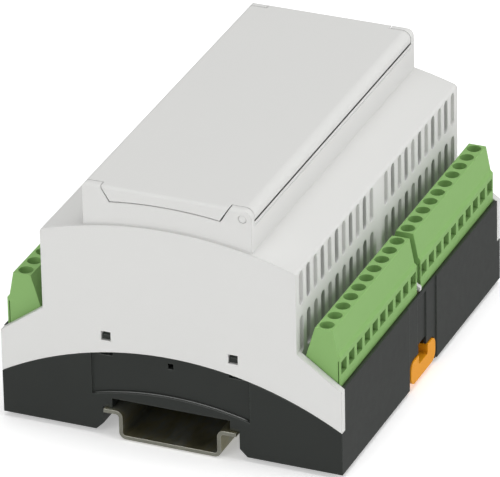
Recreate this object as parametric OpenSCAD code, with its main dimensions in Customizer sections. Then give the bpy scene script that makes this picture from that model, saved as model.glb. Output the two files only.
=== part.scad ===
// Modular enclosure that clips on a 35 mm top-hat rail, with hinged lid and four screw terminal blocks.
// X runs across the rail, Y along it and Z up. The origin is under the middle of the rail.

/* [Enclosure] */
// Length along the rail, six 17.9 mm modules
body_len = 107.6; // [107:0.1:110]
// Width across the rail, over the end walls
body_w = 89.7; // [89.5:0.1:91]
// Thickness of the end walls
end_t = 2; // [1.8:0.1:2]
// Thickness of the grey side walls and shoulders
wall = 2; // [1.8:0.1:2.2]

/* [Grey top] */
// Width over the shoulders
shoulder_w = 66.7; // [66:0.1:67]
// Radius of the arch over the shoulders
shoulder_r = 108; // [104:1:116]
// Height of the top of that arch
shoulder_z = 59; // [58.5:0.1:59.4]
// Rounding along the shoulder edges
shoulder_edge_r = 1; // [0.5:0.1:1.2]
// Height of the sloped ledge at the shoulder wall
ledge_in_z = 32; // [31:0.1:32.2]
// Height of the sloped ledge at the outer edge
ledge_out_z = 23.7; // [23.2:0.1:24]
// Width of the raised middle part
cap_w = 44; // [43.4:0.1:44.4]
// Height of the top face
cap_z = 68; // [67.5:0.1:68.6]
// How far the ends of the raised part stand back from the end walls
cap_setback = 0.6; // [0.5:0.1:1]
// Rounding of the top edges at both ends
cap_edge_r = 0.8; // [0.4:0.1:1]

/* [Lid] */
// Radius of the hinge barrel along the lid's edge
lid_r = 2.3; // [2:0.1:2.4]
// Thickness of the lid plate
lid_t = 1.8; // [1.5:0.1:1.9]
// Radius of the two moulded hinge pins
pin_r = 1; // [0.9:0.05:1]
// Running clearance round each pin
pin_gap = 0.06; // [0.04:0.01:0.1]
// Open groove under the hinge barrel
barrel_gap = 0.9; // [0.6:0.1:1]
// Gap between the lid and the walls round it
lid_gap = 0.25; // [0.2:0.05:0.3]
// Width of the finger tab at its upper edge
tab_top_w = 33.4; // [32:0.1:34]
// Width of the finger tab at its lower edge
tab_low_w = 28.5; // [27:0.1:30]
// How far the tab's middle lies from the middle of the lid, away from the hinge
tab_shift = 0.5; // [0:0.1:0.8]
// Depth of the finger tab at its corners
tab_depth = 3.8; // [3:0.1:4]
// Radius of the tab's arched lower edge
tab_arc_r = 112; // [100:1:130]

/* [Air slots] */
// Slots in each group, with two groups a side
vent_count = 11; // [9:1:11]
// Distance from slot to slot
vent_pitch = 4.55; // [4.4:0.01:4.55]
// Width of one slot
vent_w = 2.3; // [1.8:0.1:2.4]
// Distance from the end of the housing to the first slot
vent_margin = 2.3; // [2.2:0.1:2.6]
// Lower and upper end of the lower row
vent_low = [31, 40.8];
// Lower and upper end of the upper row
vent_high = [43.9, 53];
// Depth of the slots that don't go through
vent_blind = 1.1; // [0.8:0.1:1.4]

/* [Black base] */
// Height of the underside over the bottom of the rail
base_z = 0.9; // [0.5:0.1:1]
// Height of the side walls
side_z = 24; // [23.5:0.1:24.1]
// Thickness of the side walls
side_t = 1.2; // [1:0.1:1.4]
// Thickness of the thin rim along the top of the side walls
rim_t = 0.8; // [0.7:0.05:0.8]
// Thickness of the floor and of the walls of the rail channel
floor_t = 1.6; // [1.4:0.1:1.8]
// Radius of the arched seam between black and grey
seam_r = 90; // [85:1:95]
// Height of the top of that seam
seam_z = 24.4; // [24:0.1:25]
// Width of the sunk panel in each end
panel_w = 41.7; // [40:0.1:43]
// Depth of the sunk panel
panel_d = 0.6; // [0.4:0.1:0.8]
// Radius of the panel's lower edge
panel_arc_r = 80; // [75:1:90]
// Height of the top of the panel's lower edge
panel_arc_z = 13.3; // [13:0.1:14]

/* [Rail] */
// Width over the flanges
rail_w = 35; // [34.8:0.1:35]
// Height
rail_h = 7.5; // [7.4:0.1:7.5]
// Sheet thickness
rail_t = 1; // [0.9:0.1:1]
// Width of the web, over its outer walls
rail_web_w = 27; // [25:0.1:27]
// Inner bend radius
rail_bend = 0.8; // [0.4:0.1:1]
// How far the rail stub stands out at each end
rail_out = 1; // [0:0.5:20]

/* [Foot] */
// Width of the latch foot
foot_w = 16.4; // [15:0.1:16.4]
// Height of its two ears
foot_ear_z = 7.7; // [7:0.1:7.7]
// Travel that frees the rail
foot_travel = 3.5; // [3:0.1:3.5]
// Width of the notch between the ears
foot_notch_w = 5.4; // [5:0.1:6]

/* [Terminals] */
// Poles in one block
poles = 10; // [8:1:10]
// Distance from pole to pole
pitch = 5.08; // [5:0.01:5.08]
// Distance from the last pole to the end of the block
block_margin = 2.3; // [2.2:0.05:2.3]
// Distance of a block's middle from the middle of the housing
block_y = 26.5; // [26.4:0.1:26.5]
// Diameter of the holes over the clamp screws
screw_hole_d = 3.7; // [3.6:0.1:3.8]
// Width and height of a wire entry
entry = 3.5; // [2.9:0.1:3.5]

/* [Hidden] */

GREY = [0.86, 0.86, 0.85];
BLACK = [0.2, 0.21, 0.21];
GREEN = [0.55, 0.72, 0.45];
ORANGE = [0.89, 0.6, 0.16];
STEEL = [0.78, 0.77, 0.7];
BRASS = [0.8, 0.66, 0.35];
BOARD = [0.1, 0.36, 0.2];

ARC_FN = 200;
ROUND_FN = 48;
CUT = 0.5;
FAR = 60;
HIGH = 90;

// End planes and inner faces
end_y = body_len / 2;
end_in = end_y - end_t;
cap_end = end_y - cap_setback;
cap_in = cap_end - end_t;

// Centres of the three arches
shoulder_cz = shoulder_z - shoulder_r;
seam_cz = seam_z - seam_r;
panel_cz = panel_arc_z - panel_arc_r;
seam_gap = 0.15;

// Half widths
shoulder_x = shoulder_w / 2;
cap_x = cap_w / 2;
outer_x = body_w / 2;
side_x = outer_x;

// Hinge axis, parallel to Y
hinge_x = cap_x - 0.05 - lid_r;
hinge_z = cap_z - lid_r;
lid_under = cap_z - lid_t;
lid_end = cap_in - 0.2;
lid_rim_r = lid_t / 2;
rib_t = 1;
rib_z = lid_under - 2;
rib_x = cap_x - wall - 0.5;

// Rail channel in the base
rail_x = rail_w / 2;
channel_x = rail_x + 0.5;
seat_x = channel_x - 2.4;
seat_z = rail_h + 0.1;
channel_z = 10.2;
mouth_x = 20;
mouth_z = 2.9;

// Printed circuit board
board_t = 1.6;
board_top = 23.8;
board_z = board_top - board_t;
board_x = side_x - side_t - 0.35;
board_y = end_in - 0.9;

// Latch tongues of the base and their windows in the grey end walls
latch_x = 16.7;
latch_w = 3.2;
latch_t = 1.2;
latch_top = 29.6;
window = 2.5;
window_z = 27.3;
slot_w = 3.6;
slot_h = 1.1;

// Tunnel of the foot
foot_y = foot_w / 2;
foot_gap = 0.3;
tunnel_y = foot_y + foot_gap;
tunnel_wall = 2.6;
tunnel_top = 10.3;
nose_slot_z = 6.9;
runner_y = foot_y + 1.1;
runner_z = [2.4, 3.9];
runner_x = [22, 38];
driver_z = 10.1;
post_x = [34.4, 36];
post_w = 5.2;

// Foot
foot_floor = 1.3;
foot_plate_top = 4.6;
foot_notch_z = 5.2;
foot_face = outer_x;
foot_ear_x = foot_face - 2.6;
foot_corner_r = 2.5;
foot_ear_r = 2.2;
nose_x = 16.1;
nose_z = rail_h - rail_t - 0.15;
pocket_x = [24, 36.3];
pocket_w = 6.4;
spring_z = 4.4;
spring_r = 1.7;
spring_wire_r = 0.3;
spring_turns = 6;
spring_end_gap = 0.05;

// Terminal block section, right-hand side
block_out_x = 43.75;
block_top_z = 39;
ridge_z = 31.9;
block_profile = [
    [34, board_top], [34, 28.4], [34.7, 30.3], [37.3, block_top_z],
    [41.9, block_top_z], [43.1, ridge_z + 0.7], [block_out_x, ridge_z], [block_out_x, board_top]
];
block_len = (poles - 1) * pitch + 2 * block_margin;
screw_x = 39.5;
entry_z = 27;
cell_x = [35.9, 42.6];
cell_w = 3.5;
cell_top = 32.2;
head_top = 36.9;
head_h = 1.6;
head_r = 1.75;
shank_r = 1.5;
clamp_x = [37.3, 42.2];
clamp_w = 3.2;
clamp_z = [25, 31.8];
pin_x = [36.1, 37];
pin_w = 0.9;
bar_z = [30, 30.7];
bar_w = 1.9;
solder_z = 19.9;
board_hole_r = 0.8;

// Extrudes an outline drawn in X and Z from y0 to y1
module along_y(y0, y1) {
    translate([0, y1, 0]) rotate([90, 0, 0]) linear_extrude(y1 - y0) children();
}

// Extrudes an outline drawn in Y and Z from x0 to x1
module along_x(x0, x1) {
    translate([x0, 0, 0]) rotate([90, 0, 90]) linear_extrude(x1 - x0) children();
}

module both_ends() {
    children();
    mirror([0, 1, 0]) children();
}

module both_sides() {
    children();
    mirror([1, 0, 0]) children();
}

// Box between two corners
module block(low, high) {
    translate(low) cube(high - low);
}

// Outline under an arch of radius r about height cz, with both shoulders rounded to edge_r
module arch(half_w, r, cz, edge_r) {
    round_x = half_w - edge_r;
    round_z = cz + sqrt(pow(r - edge_r, 2) - pow(round_x, 2));
    spread = HIGH / (round_z - cz);
    intersection() {
        translate([0, cz]) circle(r, $fn = ARC_FN);
        polygon([
            [0, cz],
            [round_x * (1 + spread), cz + (round_z - cz) * (1 + spread)],
            [-round_x * (1 + spread), cz + (round_z - cz) * (1 + spread)]
        ]);
    }
    translate([-half_w, 0]) square([2 * half_w, round_z]);
    for (side = [-1, 1]) translate([side * round_x, round_z]) circle(edge_r, $fn = ROUND_FN);
}

// Right half of the base's section, moved inwards by d, with its side wall moved in by ds
function tray_half(d, ds, top) = [
    [0, channel_z + d], [seat_x + d, channel_z + d], [seat_x + d, seat_z + d],
    [channel_x + d, seat_z + d], [channel_x + d, mouth_z + 0.386 * d],
    [mouth_x + 0.442 * d, base_z + d], [side_x - ds, base_z + d], [side_x - ds, top]
];

// The same outline closed over both sides
function tray_path(d, ds, top) =
    let (half = tray_half(d, ds, top))
    concat(half, [for (i = [len(half) - 1 : -1 : 1]) [-half[i][0], half[i][1]]]);

// End wall of the base: the section cut off along the arched seam
module base_end_outline() {
    difference() {
        intersection() {
            polygon(tray_path(0, 0, HIGH));
            translate([0, seam_cz]) circle(seam_r - seam_gap, $fn = ARC_FN);
        }
        for (side = [-1, 1]) translate([side * (latch_x + 0.4), seam_cz]) {
            slot_top = sqrt(pow(seam_r, 2) - pow(latch_x, 2));
            translate([-slot_w / 2, slot_top - slot_h]) square([slot_w, 3]);
        }
        translate([-0.75, seam_z - 3.35]) square(1.5);
    }
}

// Sunk panel on the end wall, open towards the seam
module panel_outline() {
    difference() {
        translate([-panel_w / 2, channel_z - 1]) square([panel_w, 20]);
        translate([0, panel_cz]) circle(panel_arc_r, $fn = ARC_FN);
    }
}

// Springy tongue with a nose that snaps into the grey end wall
module latch_tongue() {
    tongue_y = end_in - 0.2;
    nose_low = window_z - window / 2 + 0.2;
    nose_high = window_z + window / 2 - 0.2;
    translate([latch_x - latch_w / 2, 0, 0]) {
        block([0, tongue_y - latch_t, channel_z + 1], [latch_w, tongue_y, latch_top]);
        block([0, tongue_y - latch_t, channel_z + 1], [latch_w, end_in + CUT, 19.4]);
    }
    along_x(latch_x - window / 2 + 0.2, latch_x + window / 2 - 0.2) polygon([
        [tongue_y - CUT, nose_low], [end_y - 0.5, nose_low], [end_y - 0.5, nose_low + 1.2],
        [tongue_y, nose_high], [tongue_y - CUT, nose_high]
    ]);
}

// Walls round the sliding foot, before its passage is cut out
module tunnel_shell() {
    block([channel_x, -tunnel_y - tunnel_wall, base_z],
          [side_x, tunnel_y + tunnel_wall, tunnel_top + floor_t]);
}

// Passage of the foot, its runner grooves and the slot for a screwdriver
module tunnel_space() {
    block([channel_x + floor_t, -tunnel_y, base_z - 1], [side_x - side_t, tunnel_y, tunnel_top]);
    block([seat_x, -tunnel_y, base_z - 1], [channel_x + floor_t + CUT, tunnel_y, nose_slot_z]);
    block([channel_x + floor_t, -runner_y - foot_gap, runner_z[0] - foot_gap],
          [runner_x[1] + foot_travel + 0.5, runner_y + foot_gap, runner_z[1] + foot_gap]);
    along_x(side_x - side_t - CUT, side_x + CUT) {
        translate([-tunnel_y, 0]) square([2 * tunnel_y, foot_ear_z - foot_ear_r]);
        for (side = [-1, 1]) translate([side * (tunnel_y - foot_ear_r - foot_gap), foot_ear_z - foot_ear_r])
            circle(foot_ear_r + foot_gap, $fn = ROUND_FN);
        translate([-foot_notch_w / 2, 0]) square([foot_notch_w, driver_z]);
        translate([-tunnel_y + foot_ear_r, 0])
            square([2 * (tunnel_y - foot_ear_r), foot_ear_z + foot_gap]);
    }
}

// Hook that holds the far flange of the rail
module rail_hook() {
    along_y(-3.5, 3.5) polygon([
        [-channel_x - CUT, 3.4], [-channel_x, 3.4], [-nose_x - 0.2, 5.1],
        [-nose_x - 0.2, nose_z], [-channel_x - CUT, nose_z]
    ]);
}

// Gusset under the edge of the board
module board_rib() {
    along_y(-0.75, 0.75) polygon([
        [side_x - side_t + CUT, base_z + 1], [38.6, base_z + 1],
        [40.4, board_z], [side_x - side_t + CUT, board_z]
    ]);
}

module base_tray() color(BLACK) {
    side_y = end_in - 0.1;
    lane_w = 18.4;
    lane_d = 0.3;
    guide_w = 5.8;
    guide_d = 0.6;
    rim_z = 23;
    difference() {
        union() {
            along_y(-side_y, side_y) difference() {
                polygon(tray_path(0, 0, side_z));
                polygon(tray_path(floor_t, side_t, side_z + 1));
            }
            both_ends() difference() {
                along_y(side_y - CUT, end_y) base_end_outline();
                along_y(end_y - panel_d, end_y + CUT) panel_outline();
            }
            tunnel_shell();
        }
        tunnel_space();
        block([side_x - lane_d, -lane_w / 2, 0], [side_x + CUT, lane_w / 2, HIGH]);
        block([side_x - guide_d, -guide_w / 2, driver_z], [side_x + CUT, guide_w / 2, rim_z]);
        both_sides() block([side_x - side_t - CUT, -end_in, rim_z], [side_x - rim_t, end_in, HIGH]);
    }
    block([post_x[0], -post_w / 2, spring_z - 2], [post_x[1], post_w / 2, tunnel_top + CUT]);
    both_ends() both_sides() latch_tongue();
    for (y = [-32, 0, 32]) translate([0, y, 0]) rail_hook();
    both_sides() both_ends() for (y = [16, 44]) translate([0, y, 0]) board_rib();
    both_sides() both_ends() translate([11, 30, channel_z + 1])
        cylinder(board_z - channel_z - 1, r = 2, $fn = ROUND_FN);
}

// Section of the grey top between its end walls
module shell_section() {
    difference() {
        union() {
            arch(shoulder_x, shoulder_r, shoulder_cz, shoulder_edge_r);
            translate([-cap_x, 0]) square([2 * cap_x, cap_z]);
        }
        arch(shoulder_x - wall, shoulder_r - wall, shoulder_cz, shoulder_edge_r);
        translate([-cap_x + wall, 0]) square([2 * (cap_x - wall), HIGH]);
        translate([-FAR, -HIGH]) square([2 * FAR, HIGH + board_top + 0.2]);
        translate([-cap_x - 1, lid_under - 0.15]) square([wall + 2, HIGH]);
        translate([hinge_x, hinge_z]) circle(lid_r + barrel_gap, $fn = ROUND_FN);
        translate([hinge_x, hinge_z]) square([FAR, HIGH]);
    }
}

// Grey end wall from the seam to the top of the arch, with its sloped skirts
module end_outline() {
    difference() {
        union() {
            arch(shoulder_x, shoulder_r, shoulder_cz, shoulder_edge_r);
            polygon([
                [-outer_x, 0], [-outer_x, ledge_out_z], [-shoulder_x, ledge_in_z],
                [shoulder_x, ledge_in_z], [outer_x, ledge_out_z], [outer_x, 0]
            ]);
        }
        translate([0, seam_cz]) circle(seam_r, $fn = ARC_FN);
        for (side = [-1, 1]) translate([side * latch_x - window / 2, window_z - window / 2])
            square(window);
    }
}

// Trapezoid of the finger tab, grown by d on its slanted sides and lower edge
module tab_outline(d) {
    translate([-tab_shift, 0]) difference() {
        polygon([
            [-tab_top_w / 2 - d, cap_z], [tab_top_w / 2 + d, cap_z],
            [tab_low_w / 2 + d, cap_z - tab_depth - d], [-tab_low_w / 2 - d, cap_z - tab_depth - d]
        ]);
        translate([0, cap_z - tab_depth + 0.95 - tab_arc_r - d]) circle(tab_arc_r, $fn = ARC_FN);
    }
}

// What is cut off to round the top edge at the rear end
module top_edge_cut() {
    along_x(-FAR, FAR) translate([cap_end - cap_edge_r, cap_z - cap_edge_r]) difference() {
        square(cap_edge_r + CUT);
        circle(cap_edge_r, $fn = ROUND_FN);
    }
}

// End wall of the raised part, rounded round the hinge pin, with the tab's cut-out
module cap_end_outline() {
    difference() {
        union() {
            translate([-cap_x, shoulder_z - 6])
                square([2 * cap_x, cap_z - shoulder_z + 6 - lid_r]);
            translate([-cap_x + lid_rim_r, shoulder_z])
                square([hinge_x + cap_x - lid_rim_r, cap_z - shoulder_z]);
            translate([-cap_x, shoulder_z]) square([cap_x, cap_z - shoulder_z - lid_rim_r]);
            translate([hinge_x + 0.05, hinge_z]) circle(lid_r, $fn = ROUND_FN);
            translate([-cap_x + lid_rim_r, cap_z - lid_rim_r]) circle(lid_rim_r, $fn = ROUND_FN);
        }
        tab_outline(lid_gap);
        translate([hinge_x, hinge_z]) circle(pin_r + pin_gap, $fn = ROUND_FN);
    }
}

// One round-ended air slot, drawn in Y and Z
module vent_outline(low, high) {
    r = vent_w / 2;
    translate([-r, low + r]) square([vent_w, high - low - vent_w]);
    for (z = [low + r, high - r]) translate([0, z]) circle(r, $fn = ROUND_FN);
}

// All slots of one side wall: every second one goes through
module vents() {
    for (end = [-1, 1], i = [0 : vent_count - 1], row = [vent_low, vent_high]) {
        first = end_y - vent_margin - vent_w / 2;
        depth = i % 2 == 0 ? vent_blind : wall + CUT;
        translate([0, end * (first - i * vent_pitch), 0])
            along_x(shoulder_x - depth, shoulder_x + CUT) vent_outline(row[0], row[1]);
    }
}

// Rib between the two terminal blocks of a side
module divider() {
    along_y(-0.6, 0.6) polygon([
        [shoulder_x - CUT, board_top + 0.2], [block_out_x - 1.5, board_top + 0.2],
        [block_out_x - 1.5, side_z + 0.3], [outer_x - 0.6, side_z + 0.3],
        [outer_x - 0.6, ledge_out_z + 1.6], [shoulder_x - CUT, ledge_in_z]
    ]);
}

module upper_shell() color(GREY) {
    difference() {
        along_y(-end_in - CUT, end_in + CUT) shell_section();
        both_sides() vents();
        along_y(cap_in, FAR) translate([-cap_x - 1, shoulder_z]) square([2 * cap_x + 2, HIGH]);
        along_y(-FAR, -cap_in) translate([-cap_x - 1, shoulder_z]) square([2 * cap_x + 2, HIGH]);
    }
    both_ends() {
        along_y(end_in, end_y) end_outline();
        difference() {
            along_y(cap_in, cap_end) cap_end_outline();
            top_edge_cut();
        }
    }
    both_sides() divider();
}

module lid() color(GREY) {
    along_y(-lid_end, lid_end) {
        translate([-cap_x + lid_rim_r, lid_under]) square([hinge_x + cap_x - lid_rim_r, lid_t]);
        translate([-cap_x, lid_under]) square([cap_x, lid_t - lid_rim_r]);
        translate([-cap_x + lid_rim_r, cap_z - lid_rim_r]) circle(lid_rim_r, $fn = ROUND_FN);
        translate([hinge_x, hinge_z]) circle(lid_r, $fn = ROUND_FN);
        translate([-rib_x, rib_z]) square([rib_t, lid_under - rib_z + CUT]);
    }
    both_ends() {
        difference() {
            along_y(lid_end - CUT, cap_end) tab_outline(0);
            top_edge_cut();
        }
        along_y(lid_end - 1 - rib_t, lid_end - 1) translate([-rib_x, rib_z])
            square([rib_x + hinge_x - lid_r - 0.5, lid_under - rib_z + CUT]);
        translate([hinge_x, cap_end - 0.1, hinge_z]) rotate([90, 0, 0])
            cylinder(cap_end - 0.1 - lid_end + CUT, r = pin_r, $fn = ROUND_FN);
    }
}

// Outer face of the foot with its two ears, drawn in Y and Z
module foot_face_outline() {
    difference() {
        union() {
            for (side = [-1, 1]) {
                translate([side * (foot_y - foot_corner_r), foot_floor + foot_corner_r])
                    circle(foot_corner_r, $fn = ROUND_FN);
                translate([side * (foot_y - foot_ear_r), foot_ear_z - foot_ear_r])
                    circle(foot_ear_r, $fn = ROUND_FN);
            }
            translate([-foot_y, foot_floor + foot_corner_r])
                square([foot_w, foot_ear_z - foot_ear_r - foot_floor - foot_corner_r]);
            translate([-foot_y + foot_corner_r, foot_floor])
                square([foot_w - 2 * foot_corner_r, foot_ear_z - foot_floor - foot_ear_r]);
            for (side = [-1, 1]) translate([side * (foot_y - foot_ear_r - 1.5) - 1.5, foot_notch_z])
                square([3, foot_ear_z - foot_notch_z]);
        }
        translate([-foot_notch_w / 2, foot_notch_z]) square([foot_notch_w, HIGH]);
    }
}

module rail_foot() color(ORANGE) {
    boss_top = 7;
    difference() {
        union() {
            block([19, -foot_y, foot_floor], [foot_ear_x + CUT, foot_y, foot_plate_top]);
            block([pocket_x[0] - 2.6, -pocket_w / 2, foot_floor], [pocket_x[0], pocket_w / 2, boss_top]);
            block([runner_x[0], -runner_y, runner_z[0]], [runner_x[1], runner_y, runner_z[1]]);
            along_x(foot_ear_x, foot_face) foot_face_outline();
            along_y(-foot_y, foot_y) polygon([
                [19 + CUT, foot_floor], [19, foot_floor], [nose_x, 4.8], [nose_x, nose_z],
                [19 + CUT, nose_z]
            ]);
        }
        block([pocket_x[0], -pocket_w / 2, 0], [pocket_x[1], pocket_w / 2, foot_plate_top + 1]);
    }
    translate([pocket_x[0] - CUT, 0, spring_z]) rotate([0, 90, 0])
        cylinder(1.6 + CUT, r = spring_r - spring_wire_r - 0.2, $fn = ROUND_FN);
}

// Points of one ring of the spring's wire, at angle a, with the wire's centre at x
function wire_ring(a, x, sides) = [
    for (k = [0 : sides - 1])
    let (b = 360 * k / sides, r = spring_r + spring_wire_r * cos(b))
    [x + spring_wire_r * sin(b), r * cos(a), spring_z + r * sin(a)]
];

module foot_spring() color(STEEL) {
    sides = 6;
    steps = 14;
    rings = spring_turns * steps;
    x0 = pocket_x[0] + spring_wire_r + spring_end_gap;
    x1 = post_x[0] - spring_wire_r - spring_end_gap;
    points = [for (i = [0 : rings]) each wire_ring(360 * i / steps, x0 + (x1 - x0) * i / rings, sides)];
    skin = [
        for (i = [0 : rings - 1], k = [0 : sides - 1])
        let (n = (k + 1) % sides)
        [i * sides + k, i * sides + n, (i + 1) * sides + n, (i + 1) * sides + k]
    ];
    first = [for (k = [sides - 1 : -1 : 0]) k];
    last = [for (k = [0 : sides - 1]) rings * sides + k];
    polyhedron(points, concat([first], skin, [last]), convexity = 10);
}

module main_board() color(BOARD) {
    difference() {
        block([-board_x, -board_y, board_z], [board_x, board_y, board_top]);
        both_ends() both_sides()
            block([latch_x - latch_w / 2 - 0.5, end_in - 0.2 - latch_t - 0.3, board_z - 1],
                  [latch_x + latch_w / 2 + 0.5, FAR, board_top + 1]);
        for (side = [-1, 1], end = [-1, 1], y = pole_places())
            translate([side * (pin_x[0] + pin_x[1]) / 2, end * block_y + y, board_z - 1])
                cylinder(board_t + 2, r = board_hole_r, $fn = 24);
    }
}

// Top-hat rail: flanges up, web down, with true bends
module rail_section() {
    bend_out = rail_bend + rail_t;
    web_x = rail_web_w / 2;
    for (side = [0, 1]) mirror([side, 0]) {
        square([web_x - bend_out, rail_t]);
        intersection() {
            translate([web_x - bend_out, 0]) square(bend_out);
            translate([web_x - bend_out, bend_out]) difference() {
                circle(bend_out, $fn = ROUND_FN);
                circle(rail_bend, $fn = ROUND_FN);
            }
        }
        translate([web_x - rail_t, bend_out]) square([rail_t, rail_h - 2 * bend_out]);
        intersection() {
            translate([web_x - rail_t, rail_h - bend_out]) square(bend_out);
            translate([web_x + rail_bend, rail_h - bend_out]) difference() {
                circle(bend_out, $fn = ROUND_FN);
                circle(rail_bend, $fn = ROUND_FN);
            }
        }
        translate([web_x + rail_bend, rail_h - rail_t])
            square([rail_x - web_x - rail_bend, rail_t]);
    }
}

module din_rail() color(STEEL) {
    along_y(-end_y - rail_out, end_y + rail_out) rail_section();
}

// Places of the poles along a block
function pole_places() = [for (i = [0 : poles - 1]) (i - (poles - 1) / 2) * pitch];

// Moves a right-hand block's parts to one side and one end of the housing
module place(side, end) {
    mirror([side < 0 ? 1 : 0, 0, 0]) translate([0, end * block_y, 0]) children();
}

// Insulating housing of one block: screw shafts, clamp cells and square wire entries
module terminal_housing(side, end) color(GREEN) place(side, end) difference() {
    plate_gap_x = block_out_x - 0.65;
    along_y(-block_len / 2, block_len / 2) polygon(block_profile);
    for (y = pole_places()) translate([0, y, 0]) {
        block([cell_x[0], -cell_w / 2, board_top - 1], [cell_x[1], cell_w / 2, cell_top]);
        translate([screw_x, 0, cell_top - CUT])
            cylinder(block_top_z - cell_top + 1, d = screw_hole_d, $fn = ROUND_FN);
        block([cell_x[1] - CUT, -entry / 2, entry_z], [block_out_x + CUT, entry / 2, entry_z + entry]);
    }
    both_ends() block([plate_gap_x, block_len / 2 - 0.5, 0],
                      [plate_gap_x + 0.25, block_len / 2 + CUT, ridge_z - 1]);
}

// Slotted clamp screws, each turned to its own angle
module clamp_screws(side, end) color(STEEL) place(side, end) for (i = [0 : poles - 1])
    translate([screw_x, pole_places()[i], 0]) difference() {
        union() {
            translate([0, 0, head_top - head_h]) cylinder(head_h, r = head_r, $fn = ROUND_FN);
            translate([0, 0, bar_z[1] + 0.2])
                cylinder(head_top - head_h - bar_z[1], r = shank_r, $fn = ROUND_FN);
        }
        rotate(i * 67) block([-head_r - CUT, -0.35, head_top - 0.9], [head_r + CUT, 0.35, head_top + CUT]);
    }

// Rising cage clamps
module wire_clamps(side, end) color(STEEL) place(side, end) for (y = pole_places())
    translate([0, y, 0]) difference() {
        block([clamp_x[0], -clamp_w / 2, clamp_z[0]], [clamp_x[1], clamp_w / 2, clamp_z[1]]);
        block([clamp_x[0] - CUT, -clamp_w / 2 + 0.5, clamp_z[0] + 0.9],
              [clamp_x[1] + CUT, clamp_w / 2 - 0.5, clamp_z[1] - 0.9]);
        translate([screw_x, 0, clamp_z[1] - 2])
            cylinder(3, r = shank_r + 0.05, $fn = ROUND_FN);
    }

// Contact bars with their solder pins through the board
module contact_pins(side, end) color(BRASS) place(side, end) for (y = pole_places())
    translate([0, y, 0]) {
        block([pin_x[0], -pin_w / 2, solder_z], [pin_x[1], pin_w / 2, bar_z[1]]);
        block([pin_x[0], -bar_w / 2, bar_z[0]], [clamp_x[1], bar_w / 2, bar_z[1]]);
    }

base_tray();
upper_shell();
lid();
rail_foot();
foot_spring();
main_board();
din_rail();
terminal_housing(1, -1);  // terminal_housing_right_front
terminal_housing(1, 1);  // terminal_housing_right_rear
terminal_housing(-1, -1);  // terminal_housing_left_front
terminal_housing(-1, 1);  // terminal_housing_left_rear
clamp_screws(1, -1);  // clamp_screws_right_front
clamp_screws(1, 1);  // clamp_screws_right_rear
clamp_screws(-1, -1);  // clamp_screws_left_front
clamp_screws(-1, 1);  // clamp_screws_left_rear
wire_clamps(1, -1);  // wire_clamps_right_front
wire_clamps(1, 1);  // wire_clamps_right_rear
wire_clamps(-1, -1);  // wire_clamps_left_front
wire_clamps(-1, 1);  // wire_clamps_left_rear
contact_pins(1, -1);  // contact_pins_right_front
contact_pins(1, 1);  // contact_pins_right_rear
contact_pins(-1, -1);  // contact_pins_left_front
contact_pins(-1, 1);  // contact_pins_left_rear
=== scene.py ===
"""Finishes, formed parts, studio and camera for the rail-mounted enclosure, in metres, in the frame of its solids."""

import bmesh
import bpy
import numpy as np
from mathutils import Matrix, Vector


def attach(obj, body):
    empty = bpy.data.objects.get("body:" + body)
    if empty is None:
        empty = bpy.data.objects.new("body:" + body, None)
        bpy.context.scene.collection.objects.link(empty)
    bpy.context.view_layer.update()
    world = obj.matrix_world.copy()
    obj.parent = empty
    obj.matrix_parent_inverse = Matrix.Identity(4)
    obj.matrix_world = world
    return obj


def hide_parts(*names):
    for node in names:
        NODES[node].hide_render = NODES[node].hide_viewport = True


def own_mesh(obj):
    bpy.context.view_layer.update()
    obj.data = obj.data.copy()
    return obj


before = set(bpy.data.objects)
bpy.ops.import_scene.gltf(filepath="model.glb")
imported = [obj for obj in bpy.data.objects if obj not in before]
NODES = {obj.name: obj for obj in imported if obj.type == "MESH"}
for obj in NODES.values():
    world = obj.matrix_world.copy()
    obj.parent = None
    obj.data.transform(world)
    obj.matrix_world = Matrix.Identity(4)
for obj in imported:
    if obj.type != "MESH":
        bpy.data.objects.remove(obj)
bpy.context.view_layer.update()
MM = 0.001

# The terminal blocks: poles in each, their pitch and the distance of a block's middle from y = 0, in millimetres
POLES = 10
PITCH = 5.08
BLOCK_MIDDLE = 26.5

# Points closer than WELD metres become one, and an edge that turns by more than CREASE radians stays sharp
WELD = 1e-7
CREASE = 0.6


class Wire:
    """A shader socket; expressions on it add Math nodes."""

    def __init__(self, sheet, socket):
        self.sheet, self.socket = sheet, socket

    def math(self, operation, *others, clamp=False):
        return self.sheet.add("ShaderNodeMath", {"operation": operation, "use_clamp": clamp},
                              dict(enumerate((self, *others))))

    def __add__(self, other):
        return self.math("ADD", other)

    def __sub__(self, other):
        return self.math("SUBTRACT", other)

    def __mul__(self, other):
        return self.math("MULTIPLY", other)

    def __rsub__(self, other):
        return self * -1.0 + other

    def __abs__(self):
        return self.math("ABSOLUTE")

    def __gt__(self, other):
        return self.math("GREATER_THAN", other)

    def __lt__(self, other):
        return self.math("LESS_THAN", other)


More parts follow.
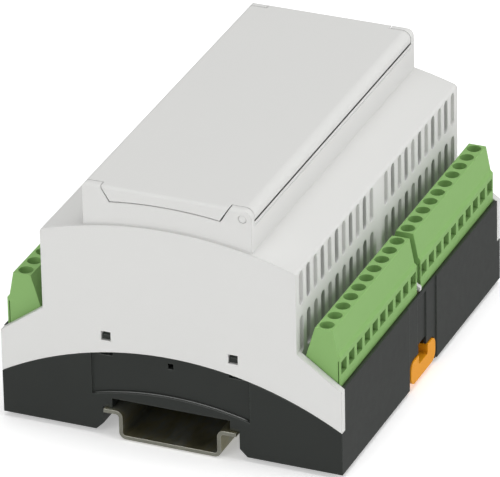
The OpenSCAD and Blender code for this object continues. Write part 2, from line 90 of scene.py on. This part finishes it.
class Sheet:
    """The node tree of one finish."""

    def __init__(self, name):
        self.material = bpy.data.materials.new(name)
        self.material.use_nodes = True
        self.tree = self.material.node_tree
        self.tree.nodes.clear()

    def add(self, kind, settings=None, sockets=None, out=0):
        """Adds a node, sets its options, then gives its sockets values or links; returns the output asked for."""
        node = self.tree.nodes.new(kind)
        for key, value in (settings or {}).items():
            if key == "stops":
                ramp = node.color_ramp
                while len(ramp.elements) < len(value):
                    ramp.elements.new(0.5)
                for stop, (place, colour) in zip(ramp.elements, value):
                    stop.position, stop.color = place, (*colour, 1.0)
            else:
                setattr(node, key, value)
        for key, value in (sockets or {}).items():
            if isinstance(value, Wire):
                self.tree.links.new(value.socket, node.inputs[key])
            elif isinstance(value, tuple) and node.inputs[key].type == "RGBA":
                node.inputs[key].default_value = (*value, 1.0)
            else:
                node.inputs[key].default_value = value
        return Wire(self, node.outputs[out]) if node.outputs else None

    def place(self):
        """Object coordinates in metres, shared by every piece."""
        return self.add("ShaderNodeTexCoord", out="Object")

    def axis(self, vector, letter):
        """One of the three parts of a vector."""
        return self.add("ShaderNodeSeparateXYZ", sockets={0: vector}, out=letter)

    def noise(self, size_mm, detail=2.0, rough=0.5, stretch=(1.0, 1.0, 1.0)):
        """Cloudy values between 0 and 1 whose cells are size_mm across, divided by stretch along each axis."""
        where = self.add("ShaderNodeVectorMath", {"operation": "MULTIPLY"}, {0: self.place(), 1: stretch})
        return self.add("ShaderNodeTexNoise", {"noise_dimensions": "3D"},
                        {"Vector": where, "Scale": 1 / (size_mm * MM), "Detail": detail, "Roughness": rough})

    def blend(self, factor, first, second):
        """Mixes two colours."""
        return self.add("ShaderNodeMix", {"data_type": "RGBA"}, {0: factor, 6: first, 7: second}, out=2)

    def ramp(self, factor, *stops):
        """A colour read off a scale of stops."""
        return self.add("ShaderNodeValToRGB", {"stops": stops}, {0: factor})

    def round_edge(self, radius_mm):
        """A normal that rounds off each edge by radius_mm."""
        return self.add("ShaderNodeBevel", {"samples": 6}, {"Radius": radius_mm * MM})

    def face_normal(self):
        """The surface's own normal, before any rounding."""
        return self.add("ShaderNodeNewGeometry", out="Normal")

    def rubbed(self, edge):
        """A mask of the rounded edges, 0 on a flat and 1 along the ridge of a square edge, where a painted highlight
        goes.

        edge is a normal from round_edge. On that ridge one less its cosine with the face's normal is about 0.3.
        """
        flat = self.face_normal()
        along = self.add("ShaderNodeVectorMath", {"operation": "DOT_PRODUCT"}, {0: flat, 1: edge}, out="Value")
        return (1 - along).math("MULTIPLY", 4.0, clamp=True)

    def grained(self, edge, height, depth_mm):
        """Lays a grain depth_mm deep over the rounded edges."""
        return self.add("ShaderNodeBump", sockets={"Strength": 1.0, "Distance": depth_mm * MM, "Height": height,
                                                   "Normal": edge})

    def finish(self, **sockets):
        """One Principled shader on the output, its sockets given by name."""
        shader = self.add("ShaderNodeBsdfPrincipled", sockets={k.replace("_", " "): v for k, v in sockets.items()})
        self.add("ShaderNodeOutputMaterial", sockets={"Surface": shader})
        return self.material


def shade(colour, factor):
    """A colour made lighter or darker."""
    return tuple(min(1.0, c * factor) for c in colour)


def moulding(name, colour, roughness, edge_mm, grain_mm=0.3, grain_depth=0.008, swing=0.02, gloss=0.5, rim=1.2):
    """Injection-moulded plastic: spark-eroded grain, slow flow shading, and rounded edges lighter by a factor as a
    painted highlight.
    """
    s = Sheet(name)
    edge = s.round_edge(edge_mm)
    polished = s.rubbed(edge)
    grain = s.noise(grain_mm, 3.0, 0.6)
    flow = s.noise(24.0, stretch=(1.0, 0.4, 1.0))
    rub = s.noise(2.2, 3.0, 0.55)
    body = s.blend(flow * 0.65 + grain * 0.35, shade(colour, 1 - swing), shade(colour, 1 + swing))
    return s.finish(
        # The rounded edges are made lighter in the base colour: a painted highlight.
        Base_Color=s.blend(polished, body, shade(colour, rim)),
        Roughness=rub * 0.1 + grain * 0.06 + (roughness - 0.08) - polished * 0.08,
        Specular_IOR_Level=gloss,
        Normal=s.grained(edge, grain, grain_depth),
    )


def plated(name, colour, other, roughness, edge_mm, grain_mm, grain_depth=0.004):
    """Plated metal: clouds of a second colour, a fine pickled grain and soft edges."""
    s = Sheet(name)
    cloud = s.noise(4.0, 4.0, 0.6)
    grain = s.noise(grain_mm, 3.0, 0.6)
    return s.finish(
        Base_Color=s.blend(cloud, colour, other),
        Metallic=1.0,
        Roughness=cloud * 0.14 + grain * 0.08 + (roughness - 0.1),
        Normal=s.grained(s.round_edge(edge_mm), grain, grain_depth),
    )


def rail_finish():
    """Rolled strip under yellow passivation, drawn out along the rail, with sawn ends and a painted highlight on the
    rounded edges.
    """
    s = Sheet("yellow_passivated_rail")
    edge = s.round_edge(0.18)
    deburred = s.rubbed(edge)
    bloom = s.noise(5.0, 4.0, 0.65, (1.0, 0.35, 1.0))
    roll = s.noise(0.35, stretch=(1.0, 0.04, 1.0))
    saw = s.noise(0.22, stretch=(0.12, 1.0, 1.0))
    end = abs(s.axis(s.face_normal(), "Y")) > 0.7
    passivated = s.ramp(bloom, (0.25, (0.31, 0.30, 0.19)), (0.45, (0.43, 0.40, 0.24)), (0.6, (0.37, 0.38, 0.32)),
                        (0.8, (0.47, 0.44, 0.31)))
    cut = s.blend(saw, (0.28, 0.28, 0.23), (0.56, 0.56, 0.47))
    return s.finish(
        # The rounded edges are lightened to a pale metal colour: a painted highlight.
        Base_Color=s.blend(deburred, s.blend(end, passivated, cut), (0.86, 0.85, 0.76)),
        Metallic=1.0 - bloom * 0.25,
        Roughness=bloom * 0.16 + roll * 0.1 + end * 0.1 + 0.22,
        Normal=s.grained(edge, roll * (1 - end) + saw * end, 0.012),
    )


def board_finish():
    """Solder mask over copper runs on the two faces, bare resin and glass on the routed edges.

    One run for each pole goes inwards from its terminal, as a stripe in Y that is repeated every pitch. A wide
    copper field fills the middle, and the mask shows both as a lighter green and a small step.
    """
    s = Sheet("masked_circuit_board")
    where = s.place()
    x, y = (s.axis(where, letter) * (1 / MM) for letter in "XY")
    side = abs(x)
    half_run, run_start, run_end, field_x, field_y = 0.45, 16.0, 38.0, 15.6, 49.0
    from_middle = abs(y) - BLOCK_MIDDLE
    row = (from_middle + PITCH / 2).math("PINGPONG", PITCH / 2)
    stripe = (row > PITCH / 2 - half_run) * (abs(from_middle) < PITCH * POLES / 2)
    run = stripe * (side > run_start) * (side < run_end)
    field = (side < field_x) * (abs(y) < field_y)
    copper = run.math("MAXIMUM", field)
    weave = s.noise(0.5, stretch=(1.0, 0.5, 1.0))
    face = abs(s.axis(s.face_normal(), "Z")) > 0.5
    mask = s.blend(copper * 0.8 + weave * 0.2, (0.008, 0.085, 0.03), (0.018, 0.16, 0.055))
    return s.finish(
        Base_Color=s.blend(face, s.blend(weave, (0.36, 0.33, 0.17), (0.46, 0.42, 0.24)), mask),
        Roughness=weave * 0.1 + (1 - face) * 0.3 + 0.28,
        Normal=s.grained(s.round_edge(0.1), copper * face + weave * 0.12, 0.035),
    )


# Each moulding's edge factor lightens its rounded edges as a painted highlight.
GREY = moulding("light_grey_moulding", (0.69, 0.69, 0.675), roughness=0.44, edge_mm=0.5, swing=0.012)
BLACK = moulding("black_moulding", (0.025, 0.0285, 0.0255), roughness=0.36, edge_mm=0.45, grain_mm=0.35,
                 grain_depth=0.01, swing=0.12, gloss=0.45, rim=2.2)
ORANGE = moulding("orange_moulding", (0.80, 0.325, 0.010), roughness=0.32, edge_mm=0.3, swing=0.03, gloss=0.25)
GREEN = moulding("light_green_moulding", (0.236, 0.430, 0.139), roughness=0.44, edge_mm=0.25, grain_mm=0.4,
                 swing=0.04, gloss=0.3, rim=1.35)
BEAD = moulding("polished_black_bead", (0.04, 0.043, 0.04), roughness=0.16, edge_mm=0.05, grain_mm=0.35,
                grain_depth=0.002, swing=0.12, gloss=1.0)
SPRING = plated("drawn_spring_wire", (0.62, 0.62, 0.6), (0.5, 0.5, 0.49), roughness=0.24, edge_mm=0.05, grain_mm=0.12)
SCREW = plated("zinc_plated_screw", (0.84, 0.84, 0.80), (0.72, 0.73, 0.71), roughness=0.38, edge_mm=0.12,
               grain_mm=0.15)
CLAMP = plated("zinc_plated_cage", (0.62, 0.62, 0.58), (0.50, 0.50, 0.48), roughness=0.34, edge_mm=0.12, grain_mm=0.2)
SOLDER = plated("cooled_solder", (0.72, 0.72, 0.71), (0.58, 0.58, 0.57), roughness=0.26, edge_mm=0.05, grain_mm=0.3)
TIN = plated("tinned_contact_bar", (0.74, 0.71, 0.62), (0.66, 0.60, 0.44), roughness=0.3, edge_mm=0.08, grain_mm=0.2)
FINISH = {"upper_shell": GREY, "lid": GREY, "base_tray": BLACK, "rail_foot": ORANGE, "foot_spring": SPRING,
          "main_board": board_finish(), "din_rail": rail_finish()}
for start, finish in (("terminal_housing", GREEN), ("clamp_screws", SCREW), ("wire_clamps", CLAMP),
                      ("contact_pins", TIN)):
    FINISH.update({name: finish for name in NODES if name.startswith(start)})


def dress(piece, finish):
    """Gives a piece one finish in place of all it has."""
    piece.data.materials.clear()
    piece.data.materials.append(finish)


for name, piece in NODES.items():
    dress(piece, FINISH[name])


def skin(name, grid, body, finish, closed_u=False, closed_v=False):
    """A mesh from an array of points, rows by columns by three, in millimetres.

    Each cell of the grid is one quad. closed_u joins the last row to the first and closed_v the last column to the
    first; a whole stack of grids, given as a four-dimensional array, becomes one mesh. Points that meet at a pole
    are welded and the faces turned outwards.
    """
    grids = grid[None] if grid.ndim == 3 else grid
    count, rows, columns, _ = grids.shape
    i, j = np.meshgrid(np.arange(rows - (not closed_u)), np.arange(columns - (not closed_v)), indexing="ij")
    k, m = (i + 1) % rows, (j + 1) % columns
    quad = np.stack([i * columns + j, k * columns + j, k * columns + m, i * columns + m], -1).reshape(-1, 4)
    faces = (quad[None] + (np.arange(count) * rows * columns)[:, None, None]).reshape(-1, 4)
    mesh = bpy.data.meshes.new(name)
    mesh.vertices.add(grids.size // 3)
    mesh.vertices.foreach_set("co", (grids * MM).ravel())
    mesh.loops.add(faces.size)
    mesh.loops.foreach_set("vertex_index", faces.ravel())
    mesh.polygons.add(len(faces))
    mesh.polygons.foreach_set("loop_start", np.arange(len(faces)) * 4)
    mesh.polygons.foreach_set("use_smooth", np.ones(len(faces), bool))
    mesh.update(calc_edges=True)
    shell = bmesh.new()
    shell.from_mesh(mesh)
    bmesh.ops.remove_doubles(shell, verts=shell.verts, dist=WELD)
    bmesh.ops.recalc_face_normals(shell, faces=shell.faces)
    shell.to_mesh(mesh)
    shell.free()
    mesh.set_sharp_from_angle(angle=CREASE)
    piece = bpy.data.objects.new(name, mesh)
    bpy.context.scene.collection.objects.link(piece)
    dress(piece, finish)
    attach(piece, body)
    return piece


def round_bar(path, outward, sideways, radius, sides=12):
    """A round section carried along a path: path + radius * (cos b * outward + sin b * sideways), b once round."""
    b = np.linspace(0, 2 * np.pi, sides, endpoint=False)[None, :, None]
    return path[:, None] + radius[:, None, None] * (np.cos(b) * outward[:, None] + np.sin(b) * sideways[:, None])


def coil_spring():
    """Latch spring with closed ends, in place of the faceted helix.

    Round the circle of the coil the angle a grows evenly over the turns. Along x the wire advances with the share
    s of its length less closing * sin(2 pi s) / (2 pi), so that the end turns lie nearly on each other and the
    middle ones stand apart. Its radius runs out as the root of 1 - u^400 at the cut ends, u going from -1 to 1.
    """
    turns, coil, wire, height = 6, 1.7, 0.3, 4.4
    first, last, end_pitch = 24.35, 34.05, 0.62
    s = np.linspace(0, 1, turns * 36 + 1)
    closing = 1 - end_pitch * turns / (last - first)
    a = 2 * np.pi * turns * s
    x = first + (last - first) * (s - closing * np.sin(2 * np.pi * s) / (2 * np.pi))
    flat = np.zeros_like(a)
    outward = np.stack([flat, np.cos(a), np.sin(a)], -1)
    path = coil * outward + np.stack([x, flat, flat + height], -1)
    along = np.broadcast_to([1.0, 0.0, 0.0], path.shape)
    piece = skin("latch_spring", round_bar(path, outward, along, wire * np.sqrt(1 - (2 * s - 1) ** 400)),
                 "housing", SPRING, closed_v=True)
    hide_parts("foot_spring")
    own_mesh(piece)


def panel_beads():
    """Polished bead along the lower edge of the sunk panel in each end wall.

    Its middle line is an arc over the angle c: x = R sin c, z = C + R cos c. Its radius runs out as the root of
    1 - u^40 at both ends, u going from -1 to 1.
    """
    arc, centre, half, face, thick = 80.15, -66.7, 20.5, 53.45, 0.26
    u = np.linspace(-1, 1, 97)
    c = np.arcsin(half / arc) * u
    up = np.stack([np.sin(c), np.zeros_like(c), np.cos(c)], -1)
    for name, way in (("front", -1.0), ("rear", 1.0)):
        across = np.broadcast_to([0.0, way, 0.0], up.shape)
        path = arc * up + np.array([0.0, way * face, centre])
        skin(f"panel_bead_{name}", round_bar(path, up, across, thick * np.sqrt(1 - u ** 40)), "housing", BEAD,
             closed_v=True)


def solder_joints():
    """Hollow-cheeked solder cones where the forty contact pins come through the underside of the board.

    Down the pin, at depth h, the cone's radius is tip + flare * (1 - h / tall)^3. Inside it closes on a bore that
    lies within the pin.
    """
    tip, flare, tall, bore = 0.5, 0.65, 1.1, 0.3
    pin_x, board_z = 36.55, 22.2
    h = np.linspace(0, tall, 8)
    radius = np.concatenate([[bore], tip + flare * (1 - h / tall) ** 3, [bore]])
    depth = np.concatenate([[0.0], h, [tall]])
    b = np.linspace(0, 2 * np.pi, 20, endpoint=False)[:, None]
    cone = np.stack([radius * np.cos(b), radius * np.sin(b), board_z - depth + 0 * b], -1)
    row = (np.arange(POLES) - (POLES - 1) / 2) * PITCH
    rows = np.concatenate([row - BLOCK_MIDDLE, row + BLOCK_MIDDLE])
    x, y = (side.ravel() for side in np.meshgrid([-pin_x, pin_x], rows))
    skin("solder_joints", cone[None] + np.stack([x, y, 0 * x], -1)[:, None, None], "housing", SOLDER,
         closed_u=True, closed_v=True)


def hinge_lip():
    """Lip on the side wall of the raised part that follows the lid's barrel and leaves a fine gap.

    Its section lies between two arcs about the hinge, drawn over the same span across: down from the hinge they
    are the root of r^2 - across^2. Each end closes on one point inside the section.
    """
    hinge_x, hinge_z, end, inside = 19.65, 65.7, 51.19, (1.63, -2.52)
    across = np.linspace(2.33, 0.36, 24)
    near, far = (np.stack([across, -np.sqrt(r ** 2 - across ** 2)], -1) for r in (2.6, 3.4))
    loop = np.concatenate([near, far[::-1]])
    core = np.broadcast_to(inside, loop.shape)
    section = np.stack([core, loop, loop, core])
    along = np.array([-end, -end, end, end])[:, None] + 0 * section[..., 0]
    skin("hinge_lip", np.stack([hinge_x + section[..., 0], along, hinge_z + section[..., 1]], -1), "housing", GREY,
         closed_v=True)


coil_spring()
panel_beads()
solder_joints()
hinge_lip()


# The lens as it was fitted: focal length in pixels of an image 500 wide, place in millimetres, angles in degrees
IMAGE_WIDTH = 500
FOCAL_PIXELS = 6341.6
CAMERA_PLACE = (545.81, -1279.22, 767.08)
AZIMUTH, ELEVATION, ROLL = 23.151, 27.905, -1.173


def camera():
    """A long lens from the front right and above, turned by roll, then elevation, then azimuth."""
    lens = bpy.data.cameras.new("camera")
    sensor = 36.0
    lens.sensor_fit, lens.sensor_width = "HORIZONTAL", sensor
    lens.lens = FOCAL_PIXELS / IMAGE_WIDTH * sensor
    lens.clip_start, lens.clip_end = 0.05, 20
    eye = bpy.data.objects.new("camera", lens)
    azimuth, tilt, roll = (Matrix.Rotation(np.radians(angle), 4, axis)
                           for angle, axis in ((AZIMUTH, "Z"), (90 - ELEVATION, "X"), (ROLL, "Z")))
    eye.matrix_world = Matrix.Translation(Vector(CAMERA_PLACE) * MM) @ azimuth @ tilt @ roll
    bpy.context.scene.collection.objects.link(eye)
    bpy.context.scene.camera = eye


camera()


def floor():
    """A wide white sheet under the rail, lit a little from below as on a light table."""
    mesh = bpy.data.meshes.new("floor")
    far, low = 6.0, -0.0004
    mesh.from_pydata([(-far, -far, low), (far, -far, low), (far, far, low), (-far, far, low)], [], [(0, 1, 2, 3)])
    sheet = bpy.data.objects.new("floor", mesh)
    mesh.materials.append(Sheet("white_sheet").finish(Base_Color=(0.93, 0.93, 0.93), Roughness=0.9,
                                                      Emission_Color=(1.0, 1.0, 1.0), Emission_Strength=0.35))
    sheet.visible_glossy = False
    bpy.context.scene.collection.objects.link(sheet)


floor()


def lamp(name, place, size, power):
    """A square soft box aimed at the middle of the housing; metres and watts."""
    light = bpy.data.lights.new(name, "AREA")
    light.shape, light.size, light.energy = "SQUARE", size, power
    box = bpy.data.objects.new(name, light)
    aim = Vector((0, 0, 0.03))
    way = aim - Vector(place)
    box.matrix_world = Matrix.Translation(place) @ way.to_track_quat("-Z", "Y").to_matrix().to_4x4()
    bpy.context.scene.collection.objects.link(box)


def studio():
    """A dim white room with soft boxes overhead, in front and to the right."""
    world = bpy.data.worlds.new("studio")
    world.use_nodes = True
    sky = world.node_tree.nodes["Background"]
    sky.inputs["Color"].default_value = (1.0, 1.0, 1.0, 1.0)
    sky.inputs["Strength"].default_value = 0.3
    bpy.context.scene.world = world
    lamp("overhead", (0.1, 0.1, 1.1), 0.9, 6.9)
    lamp("front", (-0.35, -1.2, 0.6), 0.8, 5.65)
    lamp("side", (1.2, 0.1, 0.5), 0.8, 5.8)


studio()
bpy.context.scene.view_settings.view_transform = "Standard"
